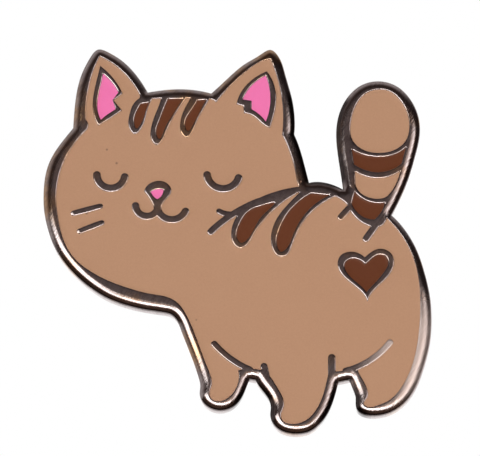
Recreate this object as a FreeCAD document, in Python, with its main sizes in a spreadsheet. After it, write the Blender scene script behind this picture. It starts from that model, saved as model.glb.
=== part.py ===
"""Enamel pin of a sleeping tabby cat, with two nail posts and two butterfly clutches.

The pin stands upright, as it is worn. Its face looks towards -Y, the posts and clutches point
towards +Y, +Z is up, and the origin is at the middle of the plate's back face. Millimetres.
"""
import FreeCAD, Part
import math
import os
import Sketcher
from FreeCAD import Vector

doc = FreeCAD.newDocument("tabby_cat_pin")

# ---------------------------------------------------------------- driving dimensions

SIZES = {
    "plate_thickness": 1.6,     # back face to the top of the raised lines
    "rim_margin": 0.22,         # how far the trimmed rim stands out beyond the drawn silhouette
    "cell_depth": 0.6,          # from the top of the raised lines to the floor under the enamel
    "enamel_recess": 0.12,      # how far the enamel lies below the raised lines
    "post_head_x": -7.5,        # the post behind the cat's head
    "post_head_z": 4.5,
    "post_body_x": 7.5,         # the post behind the cat's body
    "post_body_z": -4.8,
    "post_radius": 0.575,
    "post_length": 8.2,         # from the plate's back face to the tip
    "post_point": 1.1,          # length of the tapered point
    "post_tip_radius": 0.15,    # the point is blunted to this
    "groove_radius": 0.42,      # the groove behind the point, which the clutch snaps into
    "groove_width": 0.75,
    "nail_head_radius": 1.3,
    "nail_head_rise": 0.15,     # how far the nail head stands out of its seat
    "seat_radius": 1.75,
    "seat_depth": 0.25,
    "solder_drop": 0.03,        # how far the solder's outer edge lies below the plate's back
    "fabric_gap": 2.4,          # from the plate's back face to the clutch, room for the cloth
    "cap_radius": 5.5,
    "cap_depth": 2.2,
    "cap_ring_radius": 4.2,     # the round ridge that the cap rests on the cloth with
    "cap_dent": 0.7,            # how far the cap's middle is dented in behind that ridge
    "cap_lip": 0.4,             # how far the rim is folded in over the spring
    "cap_hole_play": 0.1,       # around the post
    "sheet": 0.35,              # thickness of the clutch cap's sheet
    "spring_sheet": 0.3,        # thickness of the wings' spring strip
    "wing_width": 4.4,
    "jaw_radius": 0.64,
    "jaw_height": 1.7,          # middle of the jaw strip above the cap's front
    "pivot_reach": 3.55,        # from the post's axis to the middle of the wing's loop
    "loop_radius": 0.4,
    "wing_reach": 5.3,          # from the post's axis to the last bend point of a wing
    "wing_rise": 3.6,           # from the jaw strip to the highest bend of a wing
    "wing_corner": 1.3,         # radius of the corners of a wing's free end
    "jaw_overlap": 0.35,        # from the post's axis to the end of the jaw strip
}

POSTS = ("head", "body")

sheet = doc.addObject("Spreadsheet::Sheet", "Sizes")
for row, (alias, value) in enumerate(SIZES.items(), start=1):
    sheet.set(f"A{row}", alias)
    sheet.set(f"B{row}", str(value))
    sheet.setAlias(f"B{row}", alias)
doc.recompute()

# ---------------------------------------------------------------- the drawing of the cat
# Points are (x, z) on the face, seen from the front. An outline is a list of smooth stretches
# that meet at corners. Each stretch starts where the one before it ends, and the first starts
# where the last one ends, so only the points after its start are listed.

SILHOUETTE = [
    [(-15.3, 13.6), (-14.8, 16.4), (-13.9, 18.4), (-13.25, 19.1), (-12.4, 18.85), (-11, 17.9),
     (-9.7, 16.45), (-8.65, 14.75)],                                          # left ear
    [(-7.05, 15), (-5.3, 15.1), (-3.7, 14.95), (-2.4, 14.65)],                # crown
    [(-0.75, 16.25), (0.95, 17.75), (2.3, 18.6), (3.2, 19.05), (3.8, 18.5), (4.4, 16.8),
     (5.05, 14.3), (5.3, 12.2), (5.25, 10.7)],                                # right ear
    [(5.8, 9.2), (6.3, 7.3), (6.7, 5.65)],                                    # side of the head
    [(7.8, 5.75), (9.1, 5.45), (10.35, 4.85)],                                # back
    [(10.1, 6.8), (9.8, 9), (9.7, 11.2), (10.05, 13), (10.85, 14.5), (12.15, 15.6), (13.6, 15.9),
     (15.05, 15.5), (16.35, 14.25), (17.1, 12.6), (17.25, 10.9), (16.85, 8.8), (16.15, 6.4),
     (15.3, 4.3), (14.45, 2.6)],                                              # tail
    [(15.75, 1.1), (16.9, -1), (17.65, -3.4), (18.1, -5.7), (18.2, -7.5), (18.1, -9.5),
     (17.75, -11.3), (17.2, -13.1), (16.45, -14.8), (15.4, -16.1), (14.25, -16.8),
     (13.15, -17.05), (12.1, -16.95), (11.55, -16.6), (11.4, -16.1), (11.4, -15.4),
     (11.2, -14.7), (10.75, -13.5)],                                          # rump and hind leg
    [(9.4, -13.8)],
    [(9, -15.3), (8.45, -16.75), (7.75, -17.8), (6.8, -18.6), (5.75, -18.85), (4.75, -18.75),
     (3.95, -18.35), (3.5, -17.75), (3.35, -17.1), (3.4, -16.4), (3.25, -15.7), (2.7, -14.8),
     (1.9, -13.6)],                                                           # middle leg
    [(1.05, -13.45)],
    [(0.6, -14.6), (0.1, -15.6), (-0.65, -16.3), (-1.5, -16.55), (-2.4, -16.35), (-3.05, -15.8),
     (-3.3, -15.1), (-3.25, -14.3), (-3.4, -13.5), (-3.8, -12.2), (-5.05, -8.85), (-5.55, -7.7),
     (-6, -7.2), (-6.55, -6.95)],                                             # foreleg and chest
    [(-7.8, -6.75), (-9.2, -6.5), (-10.65, -6.1), (-12.05, -5.55), (-13.45, -4.7), (-14.9, -3.5),
     (-15.95, -2.35), (-17, -0.75), (-17.75, 1.2), (-18.15, 3.2), (-18.2, 5), (-18.05, 6.6),
     (-17.6, 8.1), (-16.8, 9.5), (-15.45, 11.3)],                             # cheek
]

# The big cell that holds the tan of the ears, head, chest, body and legs.
COAT = [
    [(-15.25, 10.05), (-16.1, 8.7), (-16.75, 7.2), (-17.1, 5.7), (-17.2, 4), (-17, 2.2),
     (-16.6, 0.4), (-16.05, -0.9), (-15.2, -2.05), (-13.95, -3.05), (-12.25, -4), (-10, -4.85),
     (-8.1, -5.35), (-6.6, -5.65), (-5.65, -6.2), (-4.95, -7.15), (-4.3, -8.5), (-3.7, -10.1),
     (-2.95, -12.2), (-2.45, -13.6), (-2.4, -14.4), (-2.6, -15.15), (-2.4, -15.7), (-1.7, -15.95),
     (-0.85, -15.6), (-0.2, -14.85), (0.15, -13.9), (0.1, -12.9)],
    [(1.25, -12.75), (2.4, -12.9)],
    [(3.15, -13.55), (3.8, -14.6), (4.35, -15.7), (4.4, -16.5), (4.15, -17.2), (4.3, -17.85),
     (4.95, -18.15), (5.8, -18.1), (6.75, -17.6), (7.55, -16.6), (8.1, -15.35), (8.45, -14),
     (8.65, -13.1)],
    [(10.05, -12.95), (11.4, -12.9)],
    [(11.9, -13.9), (12.3, -14.85), (12.25, -15.6), (11.95, -16.2), (12.35, -16.5), (13.1, -16.4),
     (14.25, -15.9), (15.35, -14.8), (16.25, -13.15), (16.9, -11), (17.25, -8.5), (17.35, -6.2),
     (17.25, -4.2), (16.8, -2), (15.95, 0), (14.9, 1.5), (14.25, 2.2)],
    [(13.3, 1.3), (12.35, 1.5), (11.45, 2.1), (10.8, 2.9)],
    [(10.35, 3.7), (9.6, 4.25), (8.65, 4.6), (7.4, 4.85), (6.25, 4.8)],
    [(5.85, 5.4), (5.55, 6.8), (5.1, 8.6), (4.3, 10.6)],
    [(4.4, 12.5), (4.2, 14.7), (3.8, 16.5), (3.2, 18.2)],
    [(2.2, 17.95), (0.85, 16.95), (-0.65, 15.5), (-2, 13.85)],
    [(-2.4, 14.15), (-3.9, 14.25), (-5.4, 14.3), (-7.05, 14.25), (-9.1, 14.2)],
    [(-9.8, 15.5), (-11, 17), (-13.15, 18.5)],
    [(-13.7, 17.2), (-14.15, 15.5), (-14.4, 13.6), (-14.45, 12.1)],
    [(-14.2, 11.6), (-14.3, 11.15)],
]

TAIL_CELLS = {
    "enamel_tail_tip": [
        [(15, 14.7), (16, 13.4), (16.45, 11.5), (16.1, 10), (15.2, 9.15), (13.6, 8.75),
         (11.9, 9.15), (11, 10.1), (10.85, 11.7), (11.3, 13.4), (12.25, 14.7), (13.6, 15.15)],
    ],
    "enamel_tail_band_upper": [
        [(12.15, 8.55), (13.6, 8.35), (15, 8.6), (16.1, 9.3)],
        [(15.7, 7.7)],
        [(14.65, 7.05), (13.4, 6.8), (12.15, 7.05), (11.15, 7.6)],
        [(10.95, 9.1)],
    ],
    "enamel_tail_band_middle": [
        [(12.25, 6.4), (13.4, 6.2), (14.55, 6.4), (15.55, 6.9)],
        [(15.15, 5.7), (14.35, 4.45)],
        [(13.6, 4.15), (12.65, 4.25), (11.8, 4.7), (11.3, 5.5)],
        [(11.25, 6.85)],
    ],
    "enamel_tail_band_lower": [
        [(12.05, 4.1), (13, 3.75), (14.05, 3.75)],
        [(13.75, 2.9), (13.1, 2.1)],
        [(12.05, 2.3), (11.3, 2.95), (10.9, 3.7)],
        [(11.2, 4.85)],
    ],
}

# Metal islands in the coat, each a raised outline around one small cell.
ISLANDS = {
    "enamel_head_stripe_left": [
        [(-9.95, 13.6), (-10.3, 12.5), (-10.35, 11.5), (-9.75, 10.65), (-9.15, 11.2),
         (-8.65, 12.7), (-7.9, 14.4)],
        [(-7.9, 14.6)],
        [(-9.3, 14.6)],
        [(-9.3, 14.3)],
    ],
    "enamel_head_stripe_middle": [
        [(-7.75, 12.8), (-8.25, 11), (-8.1, 9.95), (-7.65, 9.55), (-7.2, 9.9), (-6.65, 11.1),
         (-5.8, 12.8), (-4.75, 14.4)],
        [(-4.75, 14.6)],
        [(-7.25, 14.6)],
        [(-7.25, 14.3)],
    ],
    "enamel_head_stripe_right": [
        [(-5.1, 13), (-5.45, 11.4), (-5.2, 10.55), (-4.8, 10.3), (-4.35, 10.7), (-3.75, 12.1),
         (-3, 13.5), (-2.6, 14.3)],
        [(-2.6, 14.5)],
        [(-4.45, 14.5)],
        [(-4.45, 14.3)],
    ],
    "enamel_back_stripe_small": [
        [(2.75, 4.25), (0.6, 3.15), (-0.3, 1.85), (-0.55, 0.4), (-0.3, -0.4), (0.25, -0.8),
         (0.85, -0.55), (1.6, 0.6), (2.65, 2.1), (3.9, 3.4), (5.75, 4.7)],
        [(4.35, 4.95)],
    ],
    "enamel_back_stripe_large": [
        [(4.9, 3.65), (3.75, 2.1), (3.25, 0.6), (3.35, -0.8), (3.95, -1.6), (4.6, -1.55),
         (5.2, -0.6), (5.8, 0.9), (6.65, 2.3), (7.8, 3.45), (9.6, 4.5)],
        [(8.6, 5.1)],
        [(6.25, 5.1)],
    ],
    "enamel_heart": [
        [(11.45, -1.25), (10.65, -1.15), (9.9, -1.45), (9.55, -2.2), (9.75, -3.1), (10.45, -3.95),
         (12.35, -6.1)],
        [(13.85, -4.1), (14.7, -3), (14.9, -2.2), (14.65, -1.35), (14, -0.9), (13.25, -0.9),
         (12.65, -1.25), (12.1, -1.7)],
    ],
    "enamel_ear_left": [
        [(-13.5, 15.8), (-13.8, 13.6), (-13.25, 11.5)],
        [(-12.25, 12.15), (-11, 13.05)],
        [(-11.8, 14.05)],
        [(-10.95, 14.75)],
        [(-11.9, 16.35), (-13.1, 17.55)],
    ],
    "enamel_ear_right": [
        [(1.4, 16.1), (0.4, 14.9), (-0.05, 13.65)],
        [(0.6, 13.5)],
        [(0.65, 12.75)],
        [(1.5, 12.5), (2.3, 11.8), (3.15, 11.25)],
        [(3.55, 12.7), (3.75, 14.4), (3.45, 15.9), (2.85, 17)],
    ],
    "enamel_nose": [
        [(-8.4, 5.6), (-7.45, 5.95), (-6.6, 5.65), (-6.25, 4.9), (-6.65, 4.2), (-7.15, 3.4)],
        [(-7.95, 3.4)],
        [(-8.3, 4.15), (-8.85, 4.9)],
    ],
}

SMALL_CELLS = {
    "enamel_head_stripe_left": [
        [(-8.35, 13.85)],
        [(-8.8, 12.7), (-9.2, 11.65), (-9.6, 11.2), (-9.8, 11.65), (-9.7, 12.7), (-9.2, 13.7)],
    ],
    "enamel_head_stripe_middle": [
        [(-5.2, 14.2)],
        [(-6.2, 12.5), (-6.95, 11.1), (-7.45, 10.15), (-7.7, 10.7), (-7.5, 11.8), (-7, 13.2),
         (-6.6, 14.2)],
    ],
    "enamel_head_stripe_right": [
        [(-2.95, 14.1)],
        [(-3.6, 12.8), (-4.25, 11.5), (-4.7, 10.95), (-4.95, 11.45), (-4.6, 12.7), (-3.8, 14.05)],
    ],
    "enamel_back_stripe_small": [
        [(2, 3.35), (0.8, 2.6), (0.15, 1.4), (0, 0.25), (0.4, -0.25), (0.95, 0.05), (1.65, 1.2),
         (2.55, 2.6), (3.6, 3.75)],
    ],
    "enamel_back_stripe_large": [
        [(8.8, 4.5)],
        [(7.35, 3.55), (6.2, 2.25), (5.3, 0.5), (4.75, -0.75), (4.2, -1.15), (3.8, -0.5),
         (3.95, 0.9), (4.6, 2.35), (5.75, 3.75), (7.05, 4.7)],
    ],
    "enamel_heart": [
        [(11.5, -1.9), (10.75, -1.85), (10.2, -2.35), (10.3, -3), (11, -3.9), (12.25, -5.2)],
        [(13.3, -4), (14.05, -3), (14.35, -2.2), (14.05, -1.55), (13.4, -1.45), (12.75, -1.85),
         (12.15, -2.4)],
    ],
    "enamel_ear_left": [
        [(-13.15, 15.1), (-13.35, 13.5), (-13, 12.1)],
        [(-12.35, 12.65), (-11.6, 13.15)],
        [(-11.9, 14.1)],
        [(-11.35, 14.85)],
        [(-12, 15.9), (-12.85, 16.75)],
    ],
    "enamel_ear_right": [
        [(1.55, 15.7), (0.55, 14.15)],
        [(1.4, 14)],
        [(1.4, 13.15)],
        [(2.1, 12.65), (2.75, 11.9)],
        [(3.1, 13.2), (3.15, 14.9), (2.75, 16.55)],
    ],
    "enamel_nose": [
        [(-7.6, 5.1), (-7, 5.05)],
        [(-7.15, 4.5), (-7.6, 4.1)],
        [(-7.95, 4.4), (-8.2, 4.85)],
    ],
}

# Raised lines with round ends: two points make a straight line, three make an arc. Lines of
# one layer don't cross each other, so that each layer is one drawing.
LINE_LAYERS = [
    {
        "eye_left": (0.74, [(-13.35, 6.55), (-12.05, 5.2), (-10.7, 6.35)]),
        "eye_right": (0.74, [(-2.85, 6.55), (-1.4, 5.15), (0.15, 6.25)]),
        "mouth_left": (0.72, [(-9.65, 3.45), (-8.75, 2.4), (-7.5, 3.3)]),
        "whisker_upper": (0.52, [(-15.55, 2.7), (-13, 3.4)]),
        "whisker_lower": (0.52, [(-14.95, 0.9), (-12.85, 1.75)]),
        "back_fold": (0.6, [(6.25, 5.1), (4.35, 4.75), (2, 3.85)]),
        "tail_fold_left": (0.6, [(10.7, 3.27), (9.85, 2.3)]),
        "tail_fold_right": (0.66, [(13.8, 2.4), (12.25, 0.15)]),
        "foreleg_crease": (0.62, [(-2.15, -10.3), (-0.75, -11.65), (1.25, -12.85)]),
        "belly_rib": (0.72, [(8.95, -11.65), (8.95, -13.3)]),
    },
    {
        "mouth_right": (0.72, [(-7.6, 3.5), (-6.2, 2.05), (-4.9, 2.9)]),
        "cheek_fold": (0.66, [(2.1, 3.9), (-0.3, 2.65), (-2.5, 0.85)]),
        "elbow_nub": (0.66, [(2.55, -12.5), (2.8, -13.6)]),
        "thigh_crease": (0.6, [(14.45, -10.15), (12.8, -11.75), (10.25, -12.95)]),
    },
    {
        "cheek_whisker": (0.56, [(-1.7, 2.9), (-0.8, 2.6), (0.3, 2.8)]),
    },
]

# ---------------------------------------------------------------- helpers


def size(alias):
    """A driving dimension, read from the sheet."""
    return float(sheet.get(alias))


def new_body(name):
    """An empty body whose label is the sub-part's name."""
    body = doc.addObject("PartDesign::Body", name)
    body.Label = name
    return body


def new_sketch(body, name, role="XZ_Plane", height=None):
    """A sketch on one of the body's own origin planes, lifted off it by an expression."""
    plane = next(o for o in body.Origin.OriginFeatures if o.Role == role)
    drawing = body.newObject("Sketcher::SketchObject", name)
    drawing.AttachmentSupport = [(plane, "")]
    drawing.MapMode = "FlatFace"
    if height:
        drawing.setExpression("AttachmentOffset.Base.z", height)
    return drawing


def draw_outline(drawing, outline):
    """Draws a closed outline: straight stretches as lines, the others as smooth curves."""
    start = outline[-1][-1]
    for stretch in outline:
        points = [Vector(a, b, 0) for a, b in [start, *stretch]]
        start = stretch[-1]
        if len(points) == 2:
            drawing.addGeometry(Part.LineSegment(*points))
            continue
        curve = Part.BSplineCurve()
        if len(outline) == 1:
            curve.interpolate(Points=points[1:], PeriodicFlag=True)
        else:
            curve.interpolate(points)
        drawing.addGeometry(curve)


def grown(outline, margin):
    """The outline with every point moved outwards, which is to its left, square to the rim."""
    points = [Vector(a, b, 0) for stretch in outline for a, b in stretch]
    moved = []
    for before, point, after in zip([points[-1], *points], points, [*points[1:], points[0]]):
        back, ahead = (point - before).normalize(), (after - point).normalize()
        along = (back + ahead).normalize()
        reach = margin / along.dot(ahead)
        moved.append((point.x - along.y * reach, point.y + along.x * reach))
    remaining = iter(moved)
    return [[next(remaining) for _ in stretch] for stretch in outline]


def draw_line(drawing, width, points):
    """Draws the rim of a raised line: its two sides and its two round ends."""
    points = [Vector(a, b, 0) for a, b in points]
    middle = Part.LineSegment(*points) if len(points) == 2 else Part.Arc(*points)
    spots = []
    for share in (0, 0.5, 1):
        along = middle.FirstParameter + share * (middle.LastParameter - middle.FirstParameter)
        ahead = Vector(*middle.tangent(along)[0]).normalize() * (width / 2)
        spots.append((middle.value(along), ahead, Vector(-ahead.y, ahead.x, 0)))
    left = [spot + side for spot, ahead, side in spots]
    right = [spot - side for spot, ahead, side in spots]
    tip = spots[-1][0] + spots[-1][1]
    tail = spots[0][0] - spots[0][1]
    drawing.addGeometry(Part.Arc(left[2], tip, right[2]))
    drawing.addGeometry(Part.Arc(right[0], tail, left[0]))
    for side in (left, right):
        drawing.addGeometry(
            Part.LineSegment(side[0], side[2]) if len(points) == 2 else Part.Arc(*side)
        )


def draw_round(drawing, radius, across="0", up="0"):
    """Draws a circle whose radius and centre are given as expressions."""
    index = drawing.addGeometry(Part.Circle(Vector(1, 1, 0), Vector(0, 0, 1), 1.0))
    for kind, where, value in [
        ("Radius", (index,), radius),
        ("DistanceX", (index, CENTRE), across),
        ("DistanceY", (index, CENTRE), up),
    ]:
        number = drawing.addConstraint(Sketcher.Constraint(kind, *where, 1.0))
        drawing.setExpression(f"Constraints[{number}]", value)


def pad(body, drawing, name, length):
    """Raises the drawing by a length, given as an expression."""
    feature = body.newObject("PartDesign::Pad", name)
    feature.Profile = drawing
    feature.setExpression("Length", length)
    doc.recompute()
    return feature


def pocket(body, drawing, name, depth, reverse=False):
    """Cuts the drawing into the body to a depth, and makes sure that it took something away."""
    before = body.Shape.Volume
    feature = body.newObject("PartDesign::Pocket", name)
    feature.Profile = drawing
    feature.Reversed = reverse
    feature.setExpression("Length", depth)
    doc.recompute()
    if not body.Shape.Volume < before:
        raise RuntimeError(f"{body.Label}: {name} cuts nothing")
    return feature


def revolve(body, drawing, name):
    """Turns the drawing a whole turn about the body's own Y axis."""
    feature = body.newObject("PartDesign::Revolution", name)
    feature.Profile = drawing
    feature.ReferenceAxis = (drawing, ["V_Axis"])
    feature.Angle = 360
    doc.recompute()
    return feature


def stand_at(body, post, height="0"):
    """Puts the body on the axis of a post, at a height above the plate's back face."""
    body.setExpression("Placement.Base.x", f"Sizes.post_{post}_x")
    body.setExpression("Placement.Base.y", height)
    body.setExpression("Placement.Base.z", f"Sizes.post_{post}_z")


CENTRE = 3      # the number by which a sketch knows a circle's centre
FACE = "Sizes.plate_thickness"
CELL_FLOOR = "Sizes.plate_thickness - Sizes.cell_depth"
ENAMEL_TOP = "Sizes.plate_thickness - Sizes.enamel_recess"
ENAMEL_THICKNESS = "Sizes.cell_depth - Sizes.enamel_recess"
CLEAR_OF_WING = "Sizes.cap_radius + Sizes.wing_reach"

# ---------------------------------------------------------------- the die-struck plate


def make_plate():
    """The plate: its outline, the cells struck into its face, the lines left standing in them,
    and a round seat on its back for the head of each post."""
    body = new_body("base_plate")
    drawing = new_sketch(body, "silhouette")
    draw_outline(drawing, grown(SILHOUETTE, size("rim_margin")))
    pad(body, drawing, "blank", FACE)

    drawing = new_sketch(body, "struck_cells", height=FACE)
    for outline in [COAT, *TAIL_CELLS.values()]:
        draw_outline(drawing, outline)
    pocket(body, drawing, "struck_field", "Sizes.cell_depth")

    drawing = new_sketch(body, "island_outlines", height=CELL_FLOOR)
    for outline in ISLANDS.values():
        draw_outline(drawing, outline)
    pad(body, drawing, "islands", "Sizes.cell_depth")

    for number, layer in enumerate(LINE_LAYERS):
        drawing = new_sketch(body, f"raised_lines_{number}", height=CELL_FLOOR)
        for width, points in layer.values():
            draw_line(drawing, width, points)
        pad(body, drawing, f"lines_{number}", "Sizes.cell_depth")

    drawing = new_sketch(body, "small_cells", height=FACE)
    for outline in SMALL_CELLS.values():
        draw_outline(drawing, outline)
    pocket(body, drawing, "struck_islands", "Sizes.cell_depth")

    drawing = new_sketch(body, "seat_circles")
    for post in POSTS:
        draw_round(drawing, "Sizes.seat_radius", f"Sizes.post_{post}_x", f"Sizes.post_{post}_z")
    pocket(body, drawing, "post_seats", "Sizes.seat_depth", reverse=True)


def make_enamel(name, outline):
    """One fill of enamel, from the floor of its cell to a little below the raised lines."""
    body = new_body(name)
    drawing = new_sketch(body, f"{name}_outline", height=CELL_FLOOR)
    draw_outline(drawing, outline)
    pad(body, drawing, f"{name}_fill", ENAMEL_THICKNESS)
    return body


def make_coat():
    """The big tan fill, with the islands and the raised lines left out of it."""
    body = make_enamel("enamel_coat", COAT)
    drawing = new_sketch(body, "coat_islands", height=ENAMEL_TOP)
    for outline in ISLANDS.values():
        draw_outline(drawing, outline)
    pocket(body, drawing, "coat_around_islands", ENAMEL_THICKNESS)
    for number, layer in enumerate(LINE_LAYERS):
        drawing = new_sketch(body, f"coat_lines_{number}", height=ENAMEL_TOP)
        for width, points in layer.values():
            draw_line(drawing, width, points)
        pocket(body, drawing, f"coat_around_lines_{number}", ENAMEL_THICKNESS)
    return body


# ---------------------------------------------------------------- posts and their solder


def make_post(post):
    """A nail-like post: a flat head in its seat, a straight shank, a groove and a tapered point."""
    body = new_body(f"post_{post}")
    drawing = new_sketch(body, f"post_{post}_profile", role="XY_Plane")
    head, shank, groove = size("nail_head_radius"), size("post_radius"), size("groove_radius")
    floor, rise = -size("seat_depth"), size("nail_head_rise")
    tip, blunt = size("post_length"), size("post_tip_radius")
    shoulder = tip - size("post_point")
    slope = shank - groove
    profile = [
        (0, floor), (head, floor), (head, rise), (shank, rise),
        (shank, shoulder - size("groove_width")),
        (groove, shoulder - size("groove_width") + slope), (groove, shoulder - slope),
        (shank, shoulder), (blunt, tip - blunt / 2), (blunt / 2, tip), (0, tip),
    ]
    draw_outline(drawing, [[point] for point in profile])
    revolve(body, drawing, f"post_{post}_turned")
    stand_at(body, post)


def make_solder(post):
    """The ring of solder that fills the seat around the post's head and climbs up its side."""
    body = new_body(f"solder_{post}")
    drawing = new_sketch(body, f"solder_{post}_profile", role="XY_Plane")
    head, seat = size("nail_head_radius"), size("seat_radius")
    floor, rise, drop = -size("seat_depth"), size("nail_head_rise"), size("solder_drop")
    draw_outline(drawing, [
        [(head, floor)],
        [(seat, floor)],
        [(seat, -drop)],
        [((head + seat) / 2, drop - rise / 3), (head, rise - drop)],
    ])
    revolve(body, drawing, f"solder_{post}_turned")
    stand_at(body, post)


# ---------------------------------------------------------------- butterfly clutches


def make_cap(post):
    """The clutch's cap: a round dish of sheet metal whose rim is folded in around the spring.

    Its profile runs outwards along the front from the hole for the post, over the ridge and up
    around the rim, and comes back along the inside, one sheet's thickness away."""
    body = new_body(f"clutch_{post}_cap")
    drawing = new_sketch(body, f"clutch_{post}_cap_profile", role="XY_Plane")
    rim, depth, thick = size("cap_radius"), size("cap_depth"), size("sheet")
    ring, dent, lip = size("cap_ring_radius"), size("cap_dent"), size("cap_lip")
    hole = size("post_radius") + size("cap_hole_play")
    draw_outline(drawing, [
        [(hole, dent)],
        [(0.38 * ring, 0.86 * dent), (0.71 * ring, 0.31 * dent), (ring, 0),
         (rim - lip, 0.11 * depth), (rim, 0.45 * depth), (rim - lip / 8, 0.8 * depth),
         (rim - lip, depth)],
        [(rim - 1.4 * lip, depth - 0.85 * thick)],
        [(rim - thick - lip / 12, 0.68 * depth), (rim - thick, 0.45 * depth),
         (rim - 1.5 * lip, 0.26 * depth), (ring, thick), (0.74 * ring, 0.31 * dent + thick),
         (0.4 * ring, 0.86 * dent + thick), (hole, dent + thick)],
    ])
    revolve(body, drawing, f"clutch_{post}_cap_turned")
    stand_at(body, post, "Sizes.fabric_gap")


def bent_strip(points, radii, thick):
    """The rim of a sheet strip of one thickness that runs along straight legs and round bends."""
    corners = [Vector(a, b, 0) for a, b in points]
    edges, start = [], corners[0]
    for before, corner, after, radius in zip(corners, corners[1:], corners[2:], radii):
        back, ahead = (before - corner).normalize(), (after - corner).normalize()
        half_turn = back.getAngle(ahead) / 2
        reach = radius / math.tan(half_turn)
        middle = (back + ahead).normalize()
        centre = corner + middle * (radius / math.sin(half_turn))
        first, last = corner + back * reach, corner + ahead * reach
        edges.append(Part.LineSegment(start, first).toShape())
        edges.append(Part.Arc(first, centre - middle * radius, last).toShape())
        start = last
    edges.append(Part.LineSegment(start, corners[-1]).toShape())
    return Part.Wire(edges).makeOffset2D(thick / 2)


def make_wing(post, hand, side):
    """One wing of the clutch's spring, for side 1 on the right and side -1 on the left.

    The strip starts at the jaw, a half-round notch that grips the post. It runs outwards in the
    cap, turns back over itself in a loop and leaves the cap as a wing to press on."""
    name = f"clutch_{post}_wing_{hand}"
    body = new_body(name)
    level, rise, start = size("jaw_height"), size("wing_rise"), size("jaw_overlap")
    loop, far, thick = size("loop_radius"), size("wing_reach"), size("spring_sheet")
    turn, waist = size("pivot_reach") + loop, 2 * size("jaw_radius")
    outer_bend = size("wing_corner") - thick
    path = [
        (start, level), (turn, level), (turn, level + 2 * loop), (waist, level + 2 * loop),
        (waist + thick, level + 6 * loop), (far - outer_bend, level + rise),
        (far, level + rise - thick),
    ]
    bends = [0.95 * loop, 0.95 * loop, 1.25 * loop, outer_bend, 1.25 * loop]
    strip = bent_strip([(side * across, up) for across, up in path], bends, thick)
    drawing = new_sketch(body, f"{name}_profile", role="XY_Plane")
    for edge in strip.Edges:
        drawing.addGeometry(edge.Curve.trim(*edge.ParameterRange))
    pad(body, drawing, f"{name}_strip", "Sizes.wing_width").Midplane = True
    doc.recompute()

    drawing = new_sketch(body, f"{name}_notch")
    draw_round(drawing, "Sizes.jaw_radius")
    pocket(body, drawing, f"{name}_jaw", CLEAR_OF_WING)

    drawing = new_sketch(body, f"{name}_corners")
    end, half, corner = far + thick, size("wing_width") / 2, size("wing_corner")
    inset = corner * (1 - math.sqrt(0.5))
    for edge in (half, -half):
        up = math.copysign(1, edge)
        arc = [(end - corner, edge), (end - inset, edge - up * inset), (end, edge - up * corner)]
        outer = [(end, edge + up), (end - corner, edge + up), (end - corner, edge)]
        drawing.addGeometry(Part.Arc(*[Vector(side * a, b, 0) for a, b in arc]))
        for first, last in zip([arc[-1], *outer], outer):
            ends = [Vector(side * a, b, 0) for a, b in (first, last)]
            drawing.addGeometry(Part.LineSegment(*ends))
    pocket(body, drawing, f"{name}_round_end", CLEAR_OF_WING)
    stand_at(body, post, "Sizes.fabric_gap")


# ---------------------------------------------------------------- the whole pin

make_plate()
make_coat()
for enamel, cell in {**TAIL_CELLS, **SMALL_CELLS}.items():
    make_enamel(enamel, cell)
for post in POSTS:
    make_post(post)
    make_solder(post)
    make_cap(post)
    make_wing(post, "right", 1)
    make_wing(post, "left", -1)

doc.recompute()

# ---------------------------------------------------------------- checks and export


def export_parts():
    """Makes sure that every feature was computed, and writes one STEP file for each body."""
    for item in doc.Objects:
        if "Invalid" in item.State or "Error" in item.State:
            raise RuntimeError(f"{item.Label} failed: {item.State}")
    bodies = [item for item in doc.Objects if item.TypeId == "PartDesign::Body"]
    for body in bodies:
        if body.Shape.isNull() or not body.Shape.isValid() or len(body.Shape.Solids) != 1:
            raise RuntimeError(f"{body.Label} isn't one valid solid")
    os.makedirs("parts", exist_ok=True)
    for body in bodies:
        body.Shape.exportStep(f"parts/{body.Label}.step")
        box = body.Shape.BoundBox
        print(
            f"{body.Label}: {body.Shape.Volume:.3f} mm3,"
            f" {box.XLength:.2f} x {box.YLength:.2f} x {box.ZLength:.2f} mm"
        )


export_parts()
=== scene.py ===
# %% [markdown]
# # A tabby cat enamel pin, from its die-struck plate to its two butterfly clutches
#
# The real pin starts as a flat blank of soft metal. A die strikes it once: the blank's outline
# is trimmed to a cat, and the face is left with raised lines around sunk cells. The plate is
# plated dark, the cells are filled with coloured enamel and baked, and two nail posts are
# soldered to the back. The pin is worn with a butterfly clutch on each post.
#
# Everything here is in metres, and each piece goes where the frame says. Sizes of the finish,
# such as the rounding of an edge, are given in millimetres and multiplied by MM.

# %% Load the frame
import math

import bmesh
import bpy
import numpy as np
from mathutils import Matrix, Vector
from mathutils.geometry import delaunay_2d_cdt
from mathutils.kdtree import KDTree


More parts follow.
